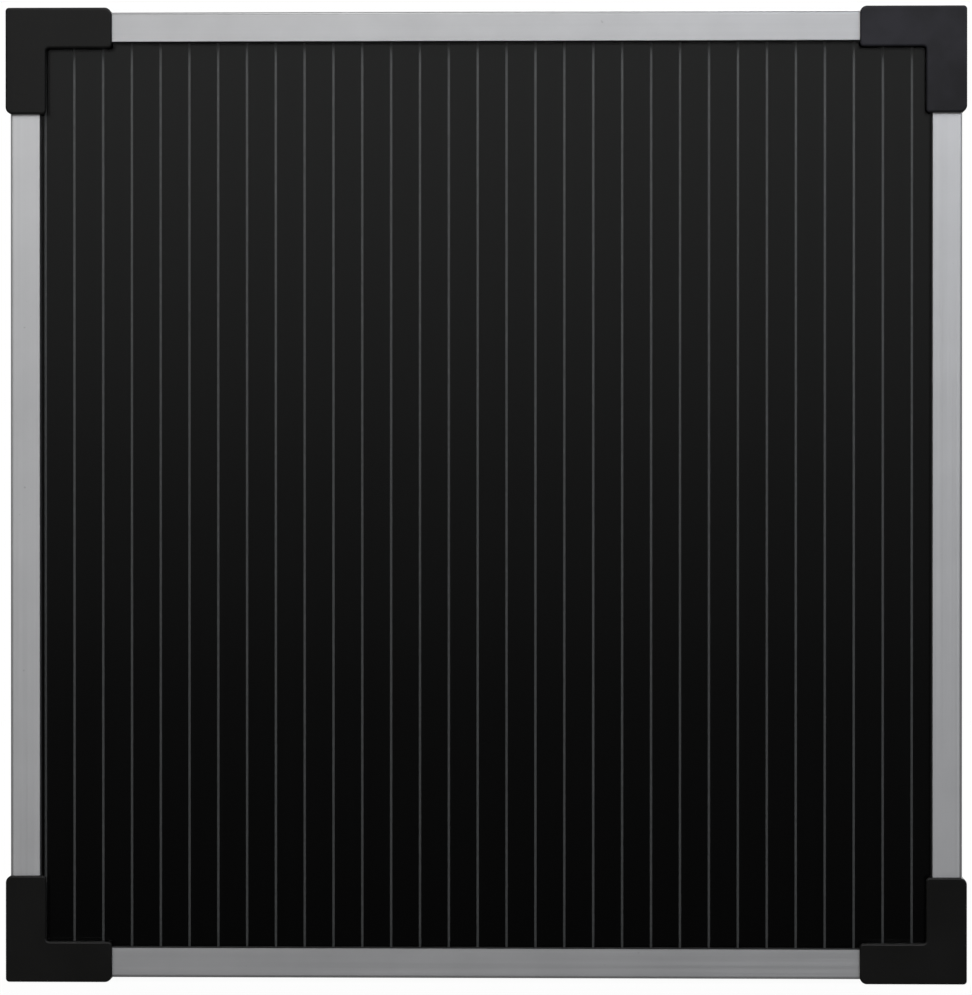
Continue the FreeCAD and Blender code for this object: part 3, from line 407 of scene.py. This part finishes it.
def dress_frame():
    """The rails, corner covers and corner keys."""
    # Painted shade: the top and bottom rails get a darker copy of the same aluminium than the side rails,
    # for the light that falls differently on them.
    across = anodised_aluminium("aluminium_across_painted_darker", (6, 5200, 5200), (3, 900, 900),
                                (0.566, 0.566, 0.572), (0.636, 0.636, 0.642))
    dress(across, "frame_rail_top", "frame_rail_bottom")
    upright = anodised_aluminium("aluminium_upright", (5200, 5200, 6), (900, 900, 3),
                                 (0.68, 0.68, 0.686), (0.75, 0.75, 0.756))
    dress(upright, "frame_rail_left", "frame_rail_right")
    black = (0.0032, 0.0031, 0.0026)
    scuffed = (0.011, 0.011, 0.010)
    # Painted sheen: the top right cover gets a copy of the cover plastic with a pale blue sheen painted
    # on, standing in for the reflection of a cool light.
    painted_sheen_blue = (0.021, 0.0204, 0.0265)
    plain = moulded_plastic("cover_plastic", black, scuffed, 0.35, 0.42, 0.26)
    dress(plain, *each_corner("corner_cover"))
    sheen_cover = moulded_plastic("cover_plastic_painted_sheen", black, scuffed, 0.35, 0.42, 0.26, painted_sheen_blue)
    dress(sheen_cover, "corner_cover_top_right")
    key = moulded_plastic("key_plastic", (0.03, 0.03, 0.032), (0.05, 0.05, 0.05), 0.4, 0.5)
    dress(key, *each_corner("corner_key"))


def dress_junction_box():
    """The box with its lid and gland nut, the terminals, the foam pad and the diode."""
    box = moulded_plastic("box_plastic", (0.014, 0.014, 0.015), (0.04, 0.04, 0.041), 0.30, 0.50)
    dress(box, "junction_box_base", "junction_box_lid", "gland_nut")
    brass = metal("brass", (0.72, 0.52, 0.22), (0.45, 0.30, 0.12), 0.30)
    dress(brass, "terminal_positive", "terminal_negative")
    dress(foam_tape("foam_tape"), "box_adhesive_pad")
    diode_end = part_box("blocking_diode")[1].x
    dress(banded_resin("diode_resin", diode_end), "blocking_diode")


def dress_shared():
    """The rubber, steel and tinned copper that several groups of pieces share."""
    dress(rubber("rubber"), *each_side("edge_gasket"), "lid_seal", "gland_seal")
    steel = metal("zinc_steel", (0.58, 0.58, 0.60), (0.40, 0.39, 0.36), 0.32)
    dress(steel, "corner_screws", "hinge_pin", "terminal_screws")
    copper = metal("tinned_copper", (0.80, 0.80, 0.78), (0.62, 0.61, 0.58), 0.34)
    dress(copper, "busbar_negative", "busbar_positive", "lead_ribbon_negative", "lead_ribbon_positive",
          "diode_leads")


def dress_laminate():
    """The glass, the film layers between its sheets, and the label."""
    dress(clear_glass("front_glass", (0.985, 0.992, 0.988)), "front_glass")
    dress(clear_glass("back_glass", (0.955, 0.985, 0.970)), "back_glass")
    dress(clear_encapsulant("encapsulant"), "encapsulant_sheet")
    dress(thin_film("thin_film"), "cell_strips")
    dress(scribed_line("scribed_line"), "cell_interconnects")
    dress(contact_film("contact_film"), "back_contacts")
    dress(polyester_film("insulating_film"), "ribbon_insulator")
    low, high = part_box("rating_label")
    label = printed_film("label_film", (0.62, 0.63, 0.65), (0.05, 0.05, 0.06), high.x,
                         (high.z - low.z) / 2, (high.z + low.z) / 2)
    dress(label, "rating_label")
    set_apart("front_glass", -LAYER_GAP)
    set_apart("encapsulant_sheet", LAYER_GAP)
    set_apart("back_glass", 2 * LAYER_GAP)


def soften_edges():
    """A small round on most of the moulded, extruded and turned pieces."""
    soften(LARGE_EDGE, *each_side("frame_rail"), "junction_box_base", "junction_box_lid", "gland_nut")
    soften(COVER_EDGE, *each_side("edge_gasket"), *each_corner("corner_cover"),
           "terminal_positive", "terminal_negative")
    soften(SMALL_EDGE, "corner_screws", "terminal_screws", "hinge_pin", "box_adhesive_pad", "diode_leads")


# ---------------------------------------------------------------- studio


def make_floor():
    """A pale round floor that fades into the white background far from the panel."""
    bpy.ops.mesh.primitive_circle_add(vertices=96, radius=6.0, fill_type="NGON")
    floor = bpy.context.object
    floor.name = "floor"
    g = Graph("floor")
    x, y = g.axis("X"), g.axis("Y")
    distance = g.maths("SQRT", g.maths("ADD", g.maths("MULTIPLY", x, x), g.maths("MULTIPLY", y, y)))
    grain = g.noise(400, 400, 400, detail=2.0)
    shade = g.blend(grain, (0.90, 0.90, 0.90), (0.93, 0.93, 0.93))
    matt = g.node("ShaderNodeBsdfDiffuse", Color=shade).outputs[0]
    white = g.node("ShaderNodeEmission", Color=WHITE, Strength=1.0).outputs[0]
    share = g.remap(distance, 0.3, 1.5, 0.96, 1.0)
    floor.data.materials.append(g.finish(g.mixed(share, matt, white)))
    floor.visible_glossy = False
    floor.visible_diffuse = False


def shade_ramp(tree, value, stops):
    """A ramp of grey levels over a value from 0 to 1."""
    ramp = tree.nodes.new("ShaderNodeValToRGB")
    while len(ramp.color_ramp.elements) < len(stops):
        ramp.color_ramp.elements.new(0.5)
    for element, (position, level) in zip(ramp.color_ramp.elements, stops):
        element.position = position
        element.color = (level, level, level, 1)
    tree.links.new(value, ramp.inputs[0])
    return ramp.outputs["Color"]


def make_world():
    """White to the camera; to everything else a dim room in front and a pale one behind."""
    world = bpy.data.worlds.new("studio")
    world.use_nodes = True
    SCENE.world = world
    tree = world.node_tree
    link = tree.links.new
    tree.nodes.clear()
    output = tree.nodes.new("ShaderNodeOutputWorld")
    direction = tree.nodes.new("ShaderNodeTexCoord")
    split = tree.nodes.new("ShaderNodeSeparateXYZ")
    link(direction.outputs["Generated"], split.inputs[0])
    rise = tree.nodes.new("ShaderNodeMapRange")
    rise.inputs["From Min"].default_value = -1
    link(split.outputs["Z"], rise.inputs["Value"])
    front = shade_ramp(tree, rise.outputs[0], ROOM_IN_FRONT)
    behind = shade_ramp(tree, rise.outputs[0], ROOM_BEHIND)
    turn = tree.nodes.new("ShaderNodeMapRange")
    turn.inputs["From Min"].default_value = TURN_START
    turn.inputs["From Max"].default_value = TURN_END
    link(split.outputs["Y"], turn.inputs["Value"])
    room = tree.nodes.new("ShaderNodeMix")
    room.data_type = "RGBA"
    link(turn.outputs[0], room.inputs[0])
    link(front, room.inputs[MIX_FIRST])
    link(behind, room.inputs[MIX_SECOND])
    lit = tree.nodes.new("ShaderNodeBackground")
    link(room.outputs[MIX_RESULT], lit.inputs["Color"])
    seen = tree.nodes.new("ShaderNodeBackground")
    seen.inputs["Color"].default_value = (*WHITE, 1)
    path = tree.nodes.new("ShaderNodeLightPath")
    mixed = tree.nodes.new("ShaderNodeMixShader")
    link(path.outputs["Is Camera Ray"], mixed.inputs[0])
    link(lit.outputs[0], mixed.inputs[1])
    link(seen.outputs[0], mixed.inputs[2])
    link(mixed.outputs[0], output.inputs["Surface"])


def make_light(name, place, target, size, power, colour=WHITE):
    """A square soft box that shines from a place towards a target."""
    data = bpy.data.lights.new(name, "AREA")
    data.size = size
    data.energy = power
    data.color = colour
    light = bpy.data.objects.new(name, data)
    SCENE.collection.objects.link(light)
    light.location = place
    aim = Vector(target) - Vector(place)
    light.rotation_euler = aim.to_track_quat("-Z", "Y").to_euler()
    light.visible_camera = False


def make_lights():
    """A high key light, a softer one behind, a cool touch from the upper right and a low fill."""
    make_light("key", (-0.07, -0.95, 1.05), (0, 0, 0.22), 0.9, 8.8)
    make_light("rear", (0.6, 1.4, 1.2), (0, 0, 0.15), 1.2, 34)
    make_light("cool_side", (0.75, -1.0, 0.85), (0.15, 0, 0.3), 0.35, 3.0, (0.80, 0.86, 1.0))
    make_light("low_fill", (-0.60, -1.30, 0.13), (-0.08, 0, 0.03), 0.25, 0.2)


def make_camera():
    """A long lens almost square to the face, a touch to the right of the middle."""
    data = bpy.data.cameras.new("camera")
    data.lens = LENS
    camera = bpy.data.objects.new("camera", data)
    SCENE.collection.objects.link(camera)
    camera.location = (CAMERA_ASIDE, FACE_Y - CAMERA_AWAY, FRAME_MIDDLE + CAMERA_LIFT)
    camera.rotation_euler = (math.radians(90) - CAMERA_DIP, 0, CAMERA_TURN)
    SCENE.camera = camera


make_camera()
dress_frame()
dress_junction_box()
dress_shared()
dress_laminate()
soften_edges()
make_floor()
make_world()
make_lights()
SCENE.view_settings.view_transform = "Standard"
